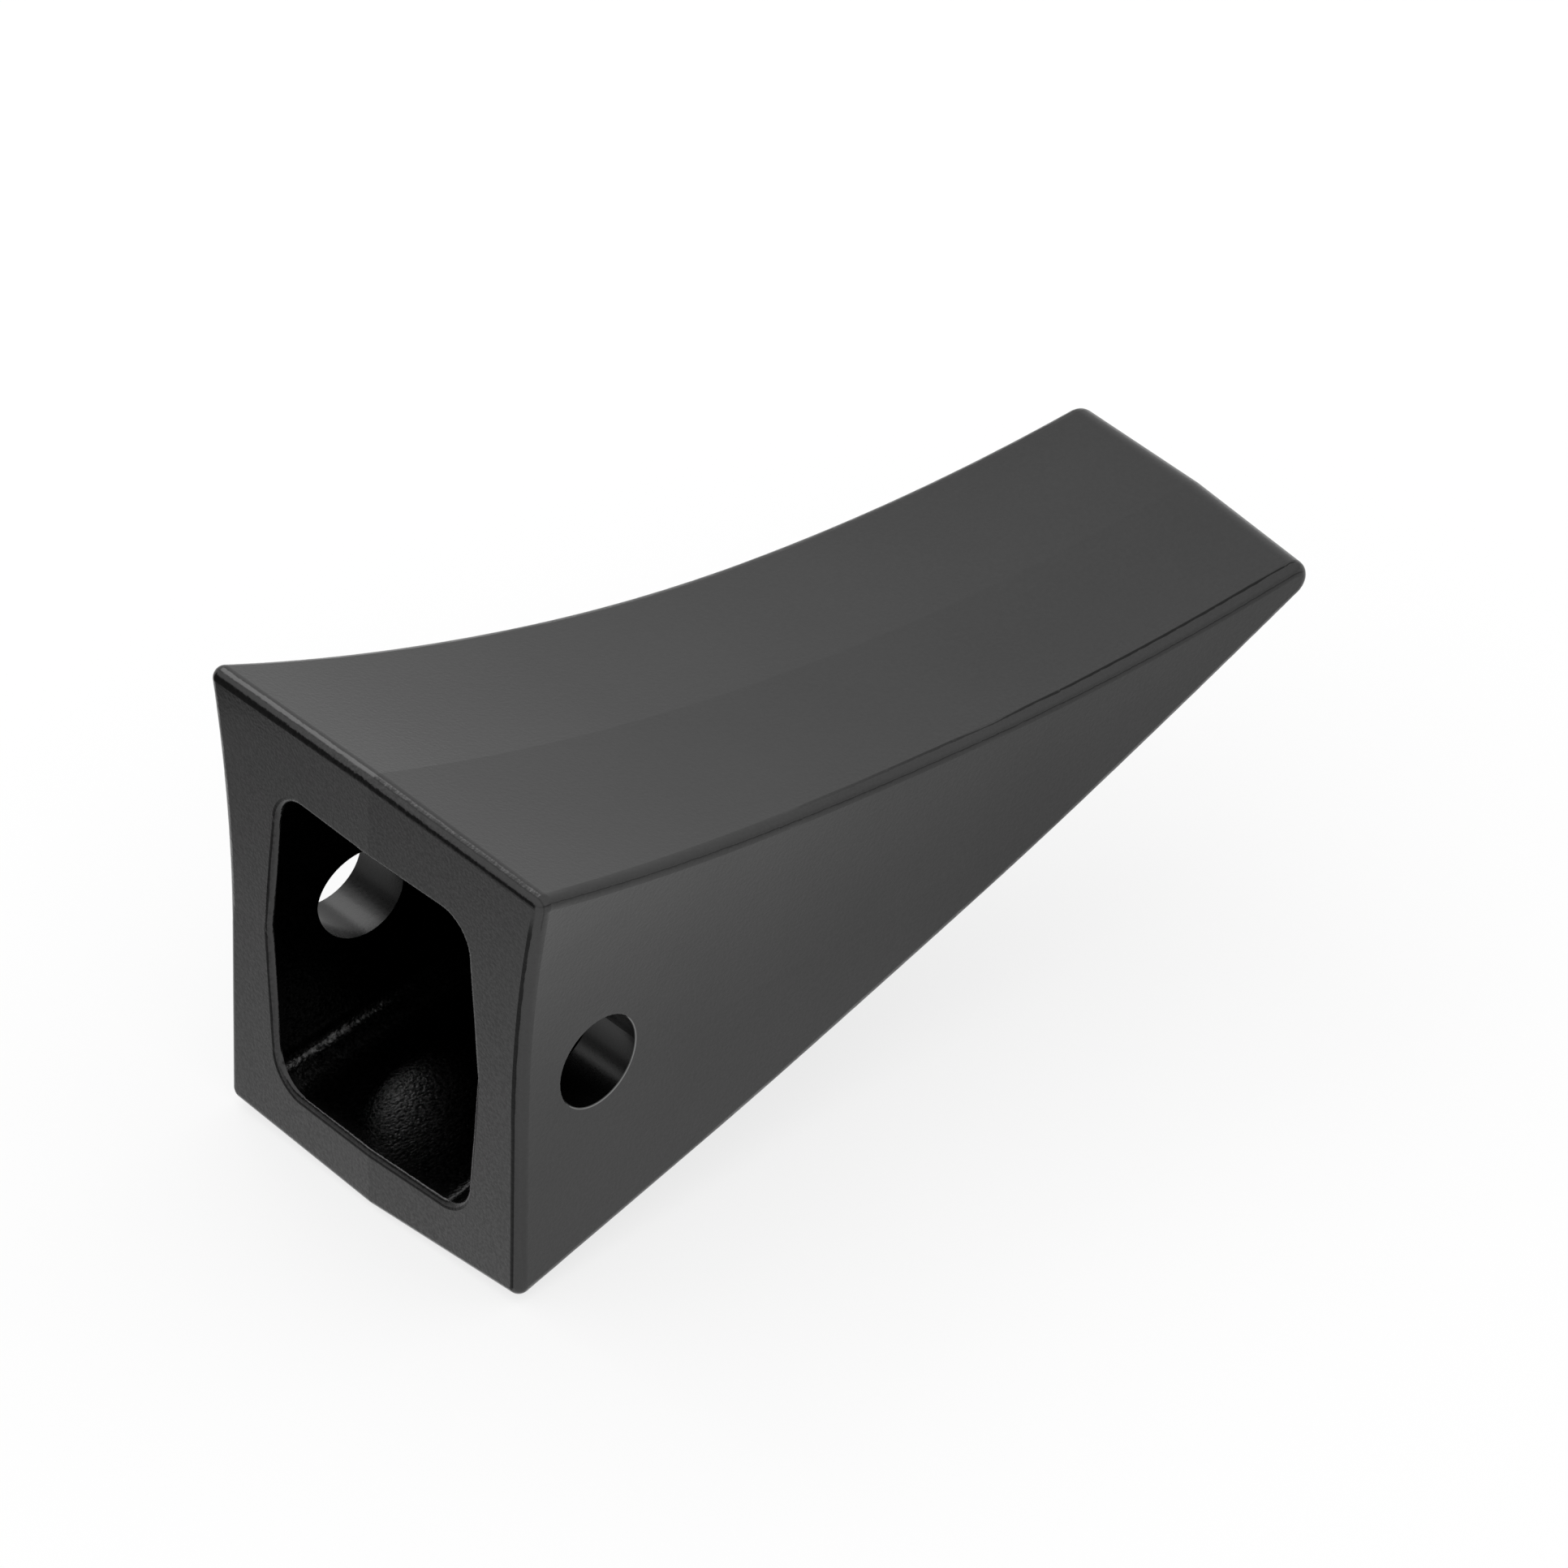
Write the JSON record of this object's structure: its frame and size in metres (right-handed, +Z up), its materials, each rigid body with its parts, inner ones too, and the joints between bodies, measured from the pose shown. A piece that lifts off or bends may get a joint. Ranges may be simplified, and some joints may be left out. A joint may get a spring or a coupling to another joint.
{
  "type": "excavator bucket tooth",
  "caption": "Wedge-shaped cast bucket tooth with a concave top, flared side walls, a blunt tip, a tapered socket at the rear and a cross pin bore.",
  "frame": {"origin": "on the pin bore's axis, in the middle of the tooth's width", "axes": "+X along the tooth to its digging tip, +Y to the left along the pin bore, +Z up"},
  "size_m": [0.229, 0.1088, 0.1126],
  "materials": {
    "tooth_steel": "satin dark charcoal cast surface with a very fine grain"
  },
  "bodies": {
    "root": {"tooth": "tooth_steel"}
  },
  "joints": []
}
